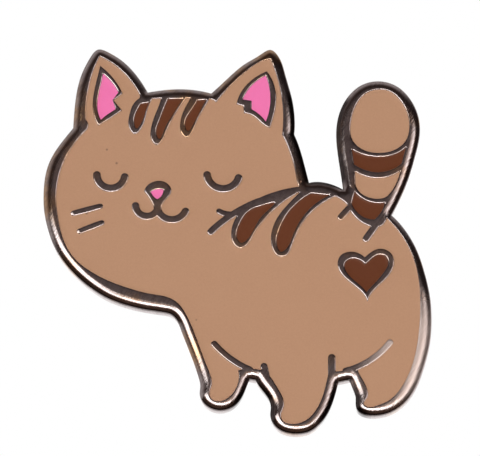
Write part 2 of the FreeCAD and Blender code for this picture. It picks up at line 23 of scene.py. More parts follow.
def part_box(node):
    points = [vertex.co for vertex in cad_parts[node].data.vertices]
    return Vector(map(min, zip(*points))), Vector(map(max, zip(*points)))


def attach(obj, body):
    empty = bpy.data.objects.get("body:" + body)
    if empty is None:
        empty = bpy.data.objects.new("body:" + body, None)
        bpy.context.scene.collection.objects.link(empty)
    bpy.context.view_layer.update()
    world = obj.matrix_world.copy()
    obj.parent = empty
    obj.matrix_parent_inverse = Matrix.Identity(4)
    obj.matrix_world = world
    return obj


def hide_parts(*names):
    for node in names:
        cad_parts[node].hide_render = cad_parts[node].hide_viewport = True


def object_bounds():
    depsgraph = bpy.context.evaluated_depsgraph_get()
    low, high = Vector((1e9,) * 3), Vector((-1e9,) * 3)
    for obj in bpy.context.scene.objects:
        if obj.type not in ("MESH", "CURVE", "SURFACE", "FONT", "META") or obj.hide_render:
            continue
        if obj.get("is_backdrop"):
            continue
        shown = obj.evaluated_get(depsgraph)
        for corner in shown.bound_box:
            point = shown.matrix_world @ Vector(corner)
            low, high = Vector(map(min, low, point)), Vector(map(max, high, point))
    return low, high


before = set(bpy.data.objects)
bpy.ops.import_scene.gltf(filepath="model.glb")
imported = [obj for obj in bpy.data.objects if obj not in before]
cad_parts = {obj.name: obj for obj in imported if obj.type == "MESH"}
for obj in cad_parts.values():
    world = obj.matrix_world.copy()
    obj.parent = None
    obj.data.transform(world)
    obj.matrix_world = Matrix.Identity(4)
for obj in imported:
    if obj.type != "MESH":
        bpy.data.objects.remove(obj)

design_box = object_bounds()
MM = 0.001
print("design box in mm:", [[round(c / MM, 2) for c in corner] for corner in design_box])

# %% [markdown]
# ## Reading the drawing from the frame
#
# The cat's drawing is already in the plate: where its flat face stops, a line of the drawing
# runs. So the outlines are read from the frame and not drawn again. An edge of the flat face
# that has the face on one side only is part of an outline, and walking from edge to edge gives
# closed loops. The loops are points (x, z) in millimetres, seen from the front.

# %% Outlines of a flat face
FLAT = 0.002 * MM           # how far apart two heights or points may be and still count as one


def outlines_at(node, height):
    """The closed outlines of the flat faces of a node that lie at one height along Y."""
    shape = bmesh.new()
    shape.from_mesh(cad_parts[node].data)
    bmesh.ops.remove_doubles(shape, verts=shape.verts, dist=FLAT)
    flat = [f for f in shape.faces if all(abs(v.co.y - height) < FLAT for v in f.verts)]
    on_face = set(flat)     # only for quick tests: the order of a set changes from run to run
    following = {}
    for face in flat:
        for corner in face.loops:
            if not any(other.face in on_face for other in corner.link_loops if other != corner):
                following.setdefault(corner.vert, []).append(corner.link_loop_next.vert)
    loops = []
    while following:
        start = next(iter(following))
        here, loop = start, []
        while here in following:
            loop.append((here.co.x / MM, here.co.z / MM))
            onward = following[here].pop()
            if not following[here]:
                del following[here]
            here = onward
        loops.append(np.array(loop))
    shape.free()
    return loops


face_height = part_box("base_plate")[0].y
print(f"the plate's face lies at {face_height / MM:.2f} mm")

# %% [markdown]
# ## Smooth outlines from short chords
#
# The frame gives a curve as short straight chords, which would show as facets in a polished
# wall. A corner of the drawing turns sharply, while a chord of a curve turns only a little. So
# each outline is cut at its corners, and a Catmull-Rom curve runs through the points between
# two corners. Points are then taken from it at an even step.

# %% Resample an outline
CORNER = math.radians(14)   # a point that turns by more than this is a corner
STEP = 0.14                 # millimetres between two points of an outline
FINE = 12                   # points that a chord is divided into, before the even ones are taken
SHORTEST = 1e-12            # keeps a vector of no length from being divided by zero


def smooth_stretch(points, closed):
    """Even points on a Catmull-Rom curve through the given points, without its last point."""
    if closed:
        padded = np.vstack([points[-1], points, points[:2]])
    else:
        padded = np.vstack([2 * points[0] - points[1], points, 2 * points[-1] - points[-2]])
    fine = []
    for before, start, end, after in zip(padded, padded[1:], padded[2:], padded[3:]):
        share = np.linspace(0, 1, FINE, endpoint=False)[:, None]
        length = np.linalg.norm(end - start)
        ahead_at_start = length * unit(unit(start - before) + unit(end - start))
        ahead_at_end = length * unit(unit(end - start) + unit(after - end))
        fine.append(
            (2 * share ** 3 - 3 * share ** 2 + 1) * start
            + (share ** 3 - 2 * share ** 2 + share) * ahead_at_start
            + (3 * share ** 2 - 2 * share ** 3) * end
            + (share ** 3 - share ** 2) * ahead_at_end
        )
    fine.append(padded[-2][None])
    fine = np.vstack(fine)
    along = np.concatenate([[0], np.cumsum(np.linalg.norm(np.diff(fine, axis=0), axis=1))])
    count = max(2, round(along[-1] / STEP))
    wanted = np.linspace(0, along[-1], count, endpoint=False)
    return np.column_stack([np.interp(wanted, along, fine[:, axis]) for axis in (0, 1)])


def unit(vector):
    """The vector at length 1."""
    return vector / max(np.linalg.norm(vector), SHORTEST)


def resample(loop):
    """An outline as even points, with its corners kept."""
    ahead = np.roll(loop, -1, axis=0) - loop
    heading = np.arctan2(ahead[:, 1], ahead[:, 0])
    turn = (heading - np.roll(heading, 1) + math.pi) % (2 * math.pi) - math.pi
    corners = np.flatnonzero(np.abs(turn) > CORNER)
    if len(corners) == 0:
        return smooth_stretch(loop, closed=True)
    loop = np.roll(loop, -corners[0], axis=0)
    cuts = [*(corners - corners[0]), len(loop)]
    loop = np.vstack([loop, loop[:1]])
    return np.vstack([
        smooth_stretch(loop[first:last + 1], closed=False)
        for first, last in zip(cuts, cuts[1:])
    ])


def area(loop):
    """The signed area inside an outline, positive when it runs anticlockwise."""
    x, z = loop.T
    return 0.5 * float(np.sum(x * np.roll(z, -1) - np.roll(x, -1) * z))


# %% The plate's outlines, the silhouette first


def sorted_outlines(node, height):
    """A node's outlines at one height, resampled, the largest first."""
    loops = [resample(loop) for loop in outlines_at(node, height)]
    return sorted(loops, key=lambda loop: -abs(area(loop)))


silhouette, *cell_outlines = sorted_outlines("base_plate", face_height)
print(f"silhouette {len(silhouette)} points, {abs(area(silhouette)):.0f} mm2")
print(f"{len(cell_outlines)} outlines of cells and lines inside it")

# %% [markdown]
# ## A relief from distances
#
# Tumbling and polishing round every edge of the plate, and the rounding follows the outline
# round tight corners. A bevel tool trips over such corners. A relief does not: every point of
# the face sinks by an amount that depends only on how far it is from the nearest outline, just
# as a polishing cloth wears the metal. Rings of points at chosen distances from the outlines
# give the rounding its shape, and a constrained Delaunay triangulation joins them.

# %% Distance to a set of outlines


class Outlines:
    """Closed outlines that can tell how far a point is from them."""

    NEAR = 6            # how many outline points are looked at around a point
    NOT_NEARER = 0.97   # a ring's point is dropped where an outline is nearer than this share

    def __init__(self, loops):
        self.loops = loops
        self.starts = np.vstack(loops)
        self.ends = np.vstack([np.roll(loop, -1, axis=0) for loop in loops])
        self.tree = KDTree(2 * len(self.starts))
        for number, (start, end) in enumerate(zip(self.starts, self.ends)):
            self.tree.insert((*start, 0), number)
            self.tree.insert((*(start + end) / 2, 0), number)
        self.tree.balance()

    def distance(self, points):
        """The distance from each point to the nearest outline."""
        near = np.array([
            [number for _, number, _ in self.tree.find_n((*point, 0), self.NEAR)]
            for point in points
        ])
        start, along = self.starts[near], self.ends[near] - self.starts[near]
        offset = points[:, None, :] - start
        share = np.clip((offset * along).sum(2) / (along ** 2).sum(2), 0, 1)
        return np.linalg.norm(offset - share[..., None] * along, axis=2).min(1)

    def rings(self, distances, side=1):
        """Points beside the outlines at each distance, on their left for side 1."""
        found = []
        for away in distances:
            for loop in self.loops:
                along = np.roll(loop, -1, axis=0) - np.roll(loop, 1, axis=0)
                along /= np.linalg.norm(along, axis=1)[:, None]
                beside = loop + side * away * np.column_stack([-along[:, 1], along[:, 0]])
                found.append(beside[self.distance(beside) > self.NOT_NEARER * away])
        return np.vstack(found)


# %% Triangulate an area with outlines and loose points
SAME_POINT = 1e-7           # in millimetres


def triangulate(loops, loose):
    """Triangles between the outlines and loose points: (points, triangles, depth of each).

    Depth is 0 outside every outline, 1 in the material and 2 in a hole or cell. The points begin
    with those of the outlines, in their order. Four corners outside make sure that every outline
    has triangles all around it."""
    low, high = loops[0].min(0) - 1, loops[0].max(0) + 1
    corners = np.array([low, (high[0], low[1]), high, (low[0], high[1])])
    points = np.vstack([*loops, loose, corners])
    edges, first = [], 0
    for loop in loops:
        count = len(loop)
        edges += [(first + i, first + (i + 1) % count) for i in range(count)]
        first += count
    made, _, triangles, origins, _, _ = delaunay_2d_cdt(
        [Vector(p) for p in points], edges, [], 0, SAME_POINT, True
    )
    if len(made) != len(points):
        raise ValueError("the outlines touch each other")
    triangles = np.array([origin[0] for origin in origins])[np.array(triangles)]
    sides = [[tuple(sorted(pair)) for pair in ((a, b), (b, c), (c, a))] for a, b, c in triangles]
    walls = {tuple(sorted(edge)) for edge in edges}
    beside = {}
    for number, pairs in enumerate(sides):
        for pair in pairs:
            beside.setdefault(pair, []).append(number)
    depth = np.full(len(triangles), -1)
    outside = [owners[0] for owners in beside.values() if len(owners) == 1]
    depth[outside] = 0
    for onward in (None, {0: 1, 1: 2, 2: 1}):
        queue = list(np.flatnonzero(depth >= 0))
        while queue:
            number = queue.pop()
            for pair in sides[number]:
                crossing = pair in walls
                if crossing and onward is None:
                    continue
                for other in beside[pair]:
                    if depth[other] < 0:
                        depth[other] = onward[depth[number]] if crossing else depth[number]
                        queue.append(other)
    return points, triangles, depth


# %% [markdown]
# ## The die-struck plate
#
# The plate is tumbled and polished before it is plated. That wears a wide, shallow curve along
# the silhouette, which ends in a small corner above the straight wall, and a narrow one along
# each raised line. Light runs along such a curve as one bright line, so its shape matters more
# than its size: a plain round edge would put the line too far out. The struck cells go down to a
# flat floor, and the back carries a round seat for the head of each post. All of it is one
# closed mesh, as the plate is one piece.

# %% The profile of a worn edge


class WornEdge:
    """An edge that turns over in arcs, each given as (radius in mm, tilt in degrees at its end).

    Step is how many degrees the edge turns between two rings of points."""

    def __init__(self, arcs, step=4):
        self.away, self.drop = [0], [0]
        tilt = 0
        for radius, end in arcs:
            for turned in np.linspace(tilt, end, max(2, round((end - tilt) / step)) + 1)[1:]:
                first, last = math.radians(tilt), math.radians(turned)
                self.away.append(self.away[-1] + radius * (math.sin(last) - math.sin(first)))
                self.drop.append(self.drop[-1] + radius * (math.cos(first) - math.cos(last)))
                tilt = turned
        self.width = self.away[-1]

    def sunk(self, distance):
        """How deep the edge has fallen at a distance from its outline."""
        return np.interp(self.width - distance, self.away, self.drop)

    def rings(self):
        """The distances from the outline at which the edge has turned a little more."""
        return [self.width - away for away in self.away[:-1]]


PLATE_EDGE = WornEdge([(1.25, 42), (0.25, 90)])
LINE_EDGE = WornEdge([(0.22, 28), (0.025, 85)], step=8)
BACK_EDGE = WornEdge([(0.22, 90)], step=15)
TOO_CLOSE = 0.004           # loose points keep this far from an outline, in millimetres
print(f"the worn edges are {PLATE_EDGE.width:.2f} mm and {LINE_EDGE.width:.2f} mm wide")


def clear_of(outlines, points):
    """The points that don't crowd an outline."""
    return points[outlines.distance(points) > TOO_CLOSE]


# %% Build a mesh piece from points and faces
SHARP = math.radians(35)    # an edge that turns by more than this stays sharp


def piece(name, points, faces):
    """A mesh object from points in millimetres, with its normals outwards."""
    mesh = bpy.data.meshes.new(name)
    mesh.from_pydata([Vector(p) * MM for p in points], [], faces)
    shape = bmesh.new()
    shape.from_mesh(mesh)
    bmesh.ops.delete(
        shape, geom=[v for v in shape.verts if not v.link_faces], context="VERTS"
    )
    bmesh.ops.recalc_face_normals(shape, faces=shape.faces)
    shape.to_mesh(mesh)
    open_edges = sum(not edge.is_manifold for edge in shape.edges)
    shape.free()
    mesh.shade_smooth()
    mesh.set_sharp_from_angle(angle=SHARP)
    made = bpy.data.objects.new(name, mesh)
    bpy.context.scene.collection.objects.link(made)
    print(f"{name}: {len(mesh.polygons)} faces, {open_edges} open edges")
    return made


class Shell:
    """Points and faces of a closed shape, gathered surface by surface."""

    def __init__(self):
        self.points, self.faces, self.count = [], [], 0

    def add(self, flat, depths, triangles=()):
        """Adds points (x, z) at their depths along Y, and triangles. Returns their first number."""
        first = self.count
        depths = np.broadcast_to(depths, (len(flat),))
        self.points.append(np.column_stack([flat[:, 0], depths, flat[:, 1]]))
        self.faces += [[first + int(i) for i in triangle] for triangle in triangles]
        self.count += len(flat)
        return first

    def wall(self, loops, upper, lower):
        """Joins two copies of the same outlines, whose first points have these numbers."""
        for loop in loops:
            count = len(loop)
            for i in range(count):
                after = (i + 1) % count
                self.faces.append([upper + i, upper + after, lower + after, lower + i])
            upper += count
            lower += count

    def piece(self, name):
        """Ends the shape and returns it as an object."""
        return piece(name, np.vstack(self.points), self.faces)


# %% The plate's levels, in millimetres along Y
back_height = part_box("base_plate")[1].y
seat_outlines = sorted_outlines("base_plate", back_height)[1:]
FACE = face_height / MM
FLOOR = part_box("enamel_coat")[1].y / MM
BACK = back_height / MM
SEAT_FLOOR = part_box("post_head")[0].y / MM
print(f"face {FACE:.2f}, floor of the cells {FLOOR:.2f}, floor of the seats {SEAT_FLOOR:.2f}")

# %% The plate


def plate_surface(points, rim, lines):
    """The depth of the plate's face at points, from their distances to the outlines."""
    return (
        FACE + PLATE_EDGE.sunk(rim.distance(points)) + LINE_EDGE.sunk(lines.distance(points))
    )


def build_plate():
    """The plate as one closed piece: its face, its cells, its back and the seats in it."""
    rim, lines = Outlines([silhouette]), Outlines(cell_outlines)
    every = Outlines([silhouette, *cell_outlines])
    loose = clear_of(every, np.vstack([
        rim.rings(PLATE_EDGE.rings()), lines.rings(LINE_EDGE.rings()),
    ]))
    points, triangles, depth = triangulate([silhouette, *cell_outlines], loose)
    plate = Shell()
    top = plate.add(points, plate_surface(points, rim, lines), triangles[depth == 1])
    floor = plate.add(points, FLOOR, triangles[depth == 2])
    plate.wall(cell_outlines, top + len(silhouette), floor + len(silhouette))

    back_loops = [silhouette, *[loop[::-1] for loop in seat_outlines]]
    back_outlines = Outlines(back_loops)
    loose = clear_of(back_outlines, rim.rings(BACK_EDGE.rings()))
    points, triangles, depth = triangulate(back_loops, loose)
    back_depth = BACK - BACK_EDGE.sunk(rim.distance(points))
    back = plate.add(points, back_depth, triangles[depth == 1])
    seat = plate.add(points, SEAT_FLOOR, triangles[depth == 2])
    plate.wall(seat_outlines, back + len(silhouette), seat + len(silhouette))
    plate.wall([silhouette], top, back)
    return plate.piece("plate")


plate = build_plate()
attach(plate, "pin")
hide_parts("base_plate")

# %% [markdown]
# ## The enamel fills
#
# Enamel is poured a little below the raised lines. It wets the metal, so it climbs the wall of
# its cell and leaves a narrow lip all around, which catches the light as a soft rim. Each fill is
# one closed piece with such a lip, made with the same distances as the plate.

# %% Sizes of the enamel's lip, in millimetres
LIP_HEIGHT = 0.03
LIP_WIDTH = 0.24
LIP_RINGS = [0.02, 0.05, 0.09, 0.14, 0.19, LIP_WIDTH]


def build_enamel(node):
    """A fill of enamel in place of a node: its top with the lip, its walls and its underside."""
    low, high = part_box(node)
    loops = sorted_outlines(node, low.y)
    outlines = Outlines(loops)
    fill = Shell()
    points, triangles, depth = triangulate(loops, clear_of(outlines, outlines.rings(LIP_RINGS)))
    lip = LIP_HEIGHT * np.clip(1 - outlines.distance(points) / LIP_WIDTH, 0, 1) ** 2
    top = fill.add(points, low.y / MM - lip, triangles[depth == 1])
    points, triangles, depth = triangulate(loops, np.empty((0, 2)))
    under = fill.add(points, high.y / MM, triangles[depth == 1])
    fill.wall(loops, top, under)
    made = fill.piece(node.replace("enamel", "fill"))
    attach(made, "pin")
    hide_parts(node)
    return made


fills = {}
for node in sorted(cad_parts):
    if node.startswith("enamel"):
        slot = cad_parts[node].material_slots[0].material.name
        fills.setdefault(slot, []).append(build_enamel(node))
print("fills of each paint:", {slot: len(made) for slot, made in fills.items()})

# %% [markdown]
# ## Writing a finish as expressions
#
# A procedural finish is mostly arithmetic on noise, and arithmetic reads best as arithmetic. The
# class below wraps one socket, so that `1 - mask * 0.4` adds the Math nodes that do it. Every
# other node comes from one method, which takes the node's type, its settings and its sockets.

# %% Sockets that can be calculated with


class Wire:
    """An output socket of a node, usable in sums and products."""

    def __init__(self, finish, socket):
        self.finish, self.socket = finish, socket

    def maths(self, operation, *others):
        """The result of a Math node on this value and others, in this order."""
        return self.finish.maths(operation, self, *others)

    def __add__(self, other):
        return self.maths("ADD", other)

    def __sub__(self, other):
        return self.maths("SUBTRACT", other)

    def __rsub__(self, other):
        return self.finish.maths("SUBTRACT", other, self)

    def __mul__(self, other):
        return self.maths("MULTIPLY", other)

    def __truediv__(self, other):
        return self.maths("DIVIDE", other)

    def __rtruediv__(self, other):
        return self.finish.maths("DIVIDE", other, self)

    __radd__, __rmul__ = __add__, __mul__

    def at_most(self, limit):
        """The value, but never more than the limit."""
        return self.maths("MINIMUM", limit)

    def clamped(self, low, high):
        """Stretches low..high to 0..1 and cuts off what lies outside."""
        return self.finish.add("ShaderNodeMapRange", {}, {
            "Value": self, "From Min": low, "From Max": high,
        })


# %% A finish under construction


class Finish:
    """A material, or the world, whose nodes are made here."""

    def __init__(self, owner):
        owner.use_nodes = True
        self.owner, self.tree = owner, owner.node_tree
        self.tree.nodes.clear()

    def add(self, kind, settings, sockets, output=0):
        """Makes a node, applies its settings, then its sockets, and returns one output.

        The setting "stops" fills a colour ramp with (position, colour)."""
        node = self.tree.nodes.new(kind)
        for name, value in settings.items():
            if name == "stops":
                elements = node.color_ramp.elements
                while len(elements) < len(value):
                    elements.new(0.5)
                for element, (position, colour) in zip(elements, value):
                    element.position, element.color = position, colour
            else:
                setattr(node, name, value)
        for name, value in sockets.items():
            if isinstance(value, Wire):
                self.tree.links.new(value.socket, node.inputs[name])
            else:
                node.inputs[name].default_value = value
        return Wire(self, node.outputs[output]) if len(node.outputs) else None

    def maths(self, operation, *operands):
        """The result of a Math node."""
        return self.add("ShaderNodeMath", {"operation": operation}, dict(enumerate(operands)))

    def place(self):
        """The point being shaded, in millimetres, in the piece's own frame."""
        metres = self.add("ShaderNodeTexCoord", {}, {}, "Object")
        return self.add(
            "ShaderNodeVectorMath", {"operation": "SCALE"}, {0: metres, "Scale": 1 / MM}
        )

    def away_from(self, place, point):
        """How far the place is from a point."""
        return self.add(
            "ShaderNodeVectorMath", {"operation": "DISTANCE"}, {0: place, 1: point}, "Value"
        )

    def stretched(self, place, turn, scale):
        """The place turned about Y by degrees and scaled along X, Y and Z."""
        turned = self.add("ShaderNodeMapping", {}, {
            "Vector": place, "Rotation": (0, math.radians(turn), 0),
        })
        return self.add("ShaderNodeVectorMath", {"operation": "MULTIPLY"}, {0: turned, 1: scale})

    def noise(self, place, scale, detail=2, roughness=0.5):
        """Smooth noise from 0 to 1, with this many blotches in a millimetre."""
        return self.add("ShaderNodeTexNoise", {}, {
            "Vector": place, "Scale": scale, "Detail": detail, "Roughness": roughness,
        })

    def mix(self, share, first, second):
        """A colour between two colours."""
        factor, colour_1, colour_2, mixed = 0, 6, 7, 2      # a Mix node's sockets for colours
        return self.add(
            "ShaderNodeMix", {"data_type": "RGBA"},
            {factor: share, colour_1: first, colour_2: second}, mixed,
        )

    def bump(self, height, depth, strength, normal=None):
        """A normal that follows a height from 0 to 1, for a relief this many millimetres deep."""
        sockets = {"Height": height, "Distance": depth * MM, "Strength": strength}
        if normal:
            sockets["Normal"] = normal
        return self.add("ShaderNodeBump", {}, sockets)

    def surface(self, **sockets):
        """Ends the tree in a Principled BSDF and returns the material."""
        names = {name.replace("_", " "): value for name, value in sockets.items()}
        shader = self.add("ShaderNodeBsdfPrincipled", {}, names)
        self.add("ShaderNodeOutputMaterial", {}, {"Surface": shader})
        return self.owner


def finish(name):
    """A new material to be filled with nodes."""
    return Finish(bpy.data.materials.new(name))


def rgb(*colour):
    """An opaque colour."""
    return (*colour, 1)

# %% [markdown]
# ## Black nickel
#
# The plate is plated with black nickel, a dark metal. Its brown patches are partly the plating's
# own bloom where the coat is thin and partly a painted reflection of warm surroundings.
# A polishing wheel has run over the face in one direction, so fine slanting lines cross every
# raised line. They are noise stretched along the wheel's direction, in the bump and a little in
# the roughness. The worn edges deep in the narrow gaps are painted nearly black as painted shade,
# and a rubbed patch of rim on the lower right is painted lighter as a painted sheen. The back is
# left as the die made it, with a fine even grain.

# %% The polishing wheel, its rubbed patch with painted sheen, and the gaps with painted shade
WHEEL_DIRECTION = 55        # degrees above the horizontal, on the face
# A patch of rim that is rubbed rougher and also painted lighter as a painted sheen
RUBBED_SHEEN_MIDDLE = (17, 0, -11)    # where the wheel leaves the rim, in millimetres
RUBBED_SHEEN_REACH = (3, 7)         # the wear is full up to the first distance and gone at the second
GAPS = [                    # the middle and the radius, in millimetres, of each narrow gap
    ((7.7, 0, 8.8), 4.4),       # between head and tail, low
    ((7.6, 0, 12.0), 4.2),      # between head and tail, high
    ((1.7, 0, -16.6), 2.7),     # between the forelegs
    ((10.0, 0, -16.8), 2.8),    # in front of the hind leg
]
GAP_SOFTNESS = 0.8          # the last stretch of a gap's radius, over which the mask fades
EDGE_DEPTHS = (0.07, 0.16)  # how far below the face the mask begins, and where it is full


def painted_gap_shade(metal, place):
    """A mask of painted shade on the worn edges deep in the narrow gaps of the outline, where the
    neighbouring parts darken the metal.
    """
    across, depth, up = (
        metal.add("ShaderNodeSeparateXYZ", {}, {"Vector": place}, axis) for axis in "XYZ"
    )
    flat = metal.add("ShaderNodeCombineXYZ", {}, {"X": across, "Z": up})
    in_gap = sum(
        1 - metal.away_from(flat, middle).clamped(radius - GAP_SOFTNESS, radius)
        for middle, radius in GAPS
    )
    begins, full = EDGE_DEPTHS
    return in_gap.at_most(1) * depth.clamped(FACE + begins, FACE + full)


# %% Black nickel on the polished face
NICKEL = rgb(0.30, 0.255, 0.252)
# Painted reflection: a warm brown that stands for warm surroundings seen in the metal, on top of
# the plating's own tint
BROWN_TINT_AND_WARM_REFLECTION = rgb(0.42, 0.255, 0.14)
TARNISH = rgb(0.17, 0.13, 0.125)
# Painted shade: nearly black, for the dark that neighbouring parts throw into the deep edges of the
# gaps
PAINTED_GAP_SHADE = rgb(0.020, 0.015, 0.014)
IN_THE_MARKS = rgb(0.13, 0.10, 0.095)
# Painted sheen: lighter metal where the brushed rim catches the window, along with its real rubbing
RUBBED_AND_SHEEN = rgb(0.66, 0.56, 0.53)


def black_nickel():
    """The polished face: brown tint with painted reflection, tarnish, painted shade in the gaps,
    wheel marks and a rubbed patch with painted sheen, over a dark mirror.
    """
    metal = finish("black_nickel_polished")
    place = metal.place()
    brown_patches = metal.noise(place, 0.3, 3).clamped(0.5, 0.68)
    tarnish = metal.noise(place, 1.3, 3, 0.6).clamped(0.46, 0.66)
    strokes = metal.noise(metal.stretched(place, WHEEL_DIRECTION, (0.35, 0.5, 7)), 1.0, 4, 0.6)
    # The rubbed patch: rougher from real rubbing, and lighter as a painted sheen
    worn_and_sheen = 1 - metal.away_from(place, RUBBED_SHEEN_MIDDLE).clamped(*RUBBED_SHEEN_REACH)
    # Brown patches: partly the plating's own tint, partly a painted reflection of warm surroundings
    colour = metal.mix(brown_patches * 0.8, NICKEL, BROWN_TINT_AND_WARM_REFLECTION)
    colour = metal.mix(tarnish * 0.5, colour, TARNISH)
    # Painted shade: the deep worn edges in the narrow gaps turn nearly black
    colour = metal.mix(painted_gap_shade(metal, place) * 0.9, colour, PAINTED_GAP_SHADE)
    colour = metal.mix(strokes.clamped(0.52, 0.7) * 0.5, colour, IN_THE_MARKS)
    colour = metal.mix(worn_and_sheen * (0.45 + strokes), colour, RUBBED_AND_SHEEN)
    strength = metal.noise(place, 0.22, 1).clamped(0.38, 0.62)
    normal = metal.bump(strokes * (0.25 + 0.75 * strength), depth=0.025, strength=0.6)
    roughness = 0.08 + 0.05 * strength + 0.07 * strokes + 0.26 * worn_and_sheen
    return metal.surface(Base_Color=colour, Metallic=1.0, Roughness=roughness, Normal=normal)


# %% Black nickel on the grained back
GRAINED_NICKEL = rgb(0.30, 0.265, 0.26)
GRAINED_BLOOM = rgb(0.34, 0.26, 0.205)
LOOKS_BACK = 0.99           # a face whose normal points this far along +Y belongs to the back


def grained_back():
    """The back as the die left it: the same metal with an even grain."""
    metal = finish("black_nickel_grained")
    place = metal.place()
    grain = metal.noise(place, 4.5, 3)
    brown_patches = metal.noise(place, 0.2, 2).clamped(0.4, 0.7)
    return metal.surface(
        Base_Color=metal.mix(brown_patches, GRAINED_NICKEL, GRAINED_BLOOM), Metallic=1.0,
        Roughness=0.3 + 0.15 * grain, Normal=metal.bump(grain, depth=0.03, strength=0.7),
    )


plate.data.materials.append(black_nickel())
plate.data.materials.append(grained_back())
back_faces = [face for face in plate.data.polygons if face.normal.y > LOOKS_BACK]
for face in back_faces:
    face.material_index = 1
print("grained faces:", len(back_faces))

# %% [markdown]
# ## Enamel
#
# The enamel is baked paint: an even colour with fine pigment speckle, a few specks of dust that
# were caught as it set, and a soft gloss that shows the slight orange peel of its surface.

# %% Enamel between two shades of one colour
DUST = rgb(0.12, 0.07, 0.05)


def enamel(name, light, dark):
    """Enamel with pigment speckle, dust and orange peel."""
    paint = finish(name)
    place = paint.place()
    pigment = paint.noise(place, 5.5, 3, 0.6).clamped(0.25, 0.75)
    cloud = paint.noise(place, 0.25, 2)
    colour = paint.mix(0.65 * pigment + 0.35 * cloud, dark, light)
    cell = paint.add("ShaderNodeTexVoronoi", {}, {"Vector": place, "Scale": 0.45}, "Distance")
    speck = 1 - cell.clamped(0.035, 0.07)
    chosen = paint.noise(place, 0.4, 0).clamped(0.56, 0.58)
    colour = paint.mix(speck * chosen * 0.6, colour, DUST)
    grit = paint.bump(pigment, depth=0.003, strength=0.35)
    peel = paint.noise(place, 0.9, 1)
    normal = paint.bump(peel, depth=0.02, strength=0.25, normal=grit)
    return paint.surface(
        Base_Color=colour, Roughness=0.27 + 0.1 * pigment, Normal=normal,
        Specular_IOR_Level=0.25,
    )


# %% Enamel in three colours
PAINTS = {
    "tan_enamel": (rgb(0.555, 0.318, 0.196), rgb(0.500, 0.280, 0.171)),
    "brown_enamel": (rgb(0.148, 0.042, 0.015), rgb(0.122, 0.033, 0.011)),
    "pink_enamel": (rgb(1.0, 0.225, 0.53), rgb(0.99, 0.205, 0.495)),
}
for slot, paints in PAINTS.items():
    made = enamel(slot.replace("_enamel", "_paint"), *paints)
    for fill in fills[slot]:
        fill.data.materials.append(made)
    print(f"{made.name}: {len(made.node_tree.nodes)} nodes")

# %% [markdown]
# ## Posts, solder and clutches
#
# These are turned, cast and stamped pieces, and the frame already holds their true shapes, so
# they keep their meshes and only get a finish. The posts are drawn wire with fine rings around
# them, the solder is dull and lumpy tin, and the clutches are bright nickel on thin sheet. One
# function serves all three, because they differ in colour, in roughness and in how the marks
# run, not in kind.

# %% Bare metals


def plain_metal(name, light, dark, rough, streak=(1, 1, 1), depth=0.01):
    """Metal between two greys, with marks that a streak packs closer along one axis."""
    metal = finish(name)
    place = metal.place()
    wear = metal.noise(place, 0.6, 3).clamped(0.35, 0.7)
    lines = metal.noise(metal.stretched(place, 0, streak), 2.2, 4, 0.65)
    return metal.surface(
        Base_Color=metal.mix(wear, dark, light), Metallic=1.0,
        Roughness=rough + 0.14 * wear, Normal=metal.bump(lines, depth, strength=0.5),
    )


METALS = {
    "post_steel": plain_metal(
        "drawn_wire", rgb(0.46, 0.44, 0.42), rgb(0.33, 0.31, 0.30), rough=0.24, streak=(1, 9, 1)
    ),
    "solder": plain_metal(
        "tin_solder", rgb(0.50, 0.50, 0.51), rgb(0.34, 0.34, 0.35), rough=0.42, depth=0.05
    ),
    "clutch_nickel": plain_metal(
        "nickel_sheet", rgb(0.66, 0.64, 0.60), rgb(0.52, 0.50, 0.46), rough=0.16
    ),
}
for name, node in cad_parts.items():
    slot = node.material_slots[0].material.name
    if slot in METALS:
        node.material_slots[0].material = METALS[slot]
        print(f"{name}: {METALS[slot].name}")

# %% [markdown]
# ## The camera
#
# The pin faces -Y and the camera looks at it from a little below, through a long lens, so that
# the plate's lower walls show and its outline isn't widened by perspective.

# %% Camera
CAMERA_TILT = -18           # degrees above the horizon
PICTURE_WIDTH = 45.6 * MM   # what the picture spans at the pin's face
PICTURE_MIDDLE = Vector((0.285, FACE, 1.2)) * MM

lens = bpy.data.cameras.new("camera")
lens.lens = 500
lens.sensor_width = 36
camera = bpy.data.objects.new("camera", lens)
tilt = math.radians(CAMERA_TILT)
away = PICTURE_WIDTH * lens.lens / lens.sensor_width
camera.location = PICTURE_MIDDLE - away * Vector((0, math.cos(tilt), -math.sin(tilt)))
camera.rotation_euler = (math.pi / 2 - tilt, 0, 0)
lens.clip_start, lens.clip_end = away / 10, away * 10
bpy.context.scene.collection.objects.link(camera)
bpy.context.scene.camera = camera
bpy.context.scene.view_settings.view_transform = "Standard"
print(f"the camera stands {away:.2f} m away")

# %% [markdown]
# ## The room around the pin
#
# Polished metal has no look of its own: it shows the room. So the room is drawn around the
# direction in which the flat face mirrors the camera. Close to it the room is dim, which makes
# the faces dark. A ring of window lies further out, on the left, below and on the right, and
# becomes the bright line along every worn edge. Beyond it the room is dark again up to the
# horizon, and the table behind the pin is white, which the straight walls show. Only rays that
# light the pin see this room; the camera sees plain white.

# %% Directions and ramps in the room
MIRROR = Vector((0, -math.cos(tilt), -math.sin(tilt)))      # what the flat face shows the camera
UPWARD = Vector((0, -math.sin(tilt), math.cos(tilt)))       # square to it
BEHIND = Vector((0, 1, 0))

world = bpy.data.worlds.new("studio")
bpy.context.scene.world = world
sky = Finish(world)
direction = sky.add("ShaderNodeTexCoord", {}, {}, "Generated")


def around_mirror(angle):
    """The direction square to MIRROR that is turned from +X by an angle in degrees."""
    angle = math.radians(angle)
    return math.cos(angle) * Vector((1, 0, 0)) + math.sin(angle) * UPWARD


def along(axis):
    """How far the direction that is being lit points along an axis, from -1 to 1."""
    return sky.add(
        "ShaderNodeVectorMath", {"operation": "DOT_PRODUCT"}, {0: direction, 1: axis}, "Value"
    )


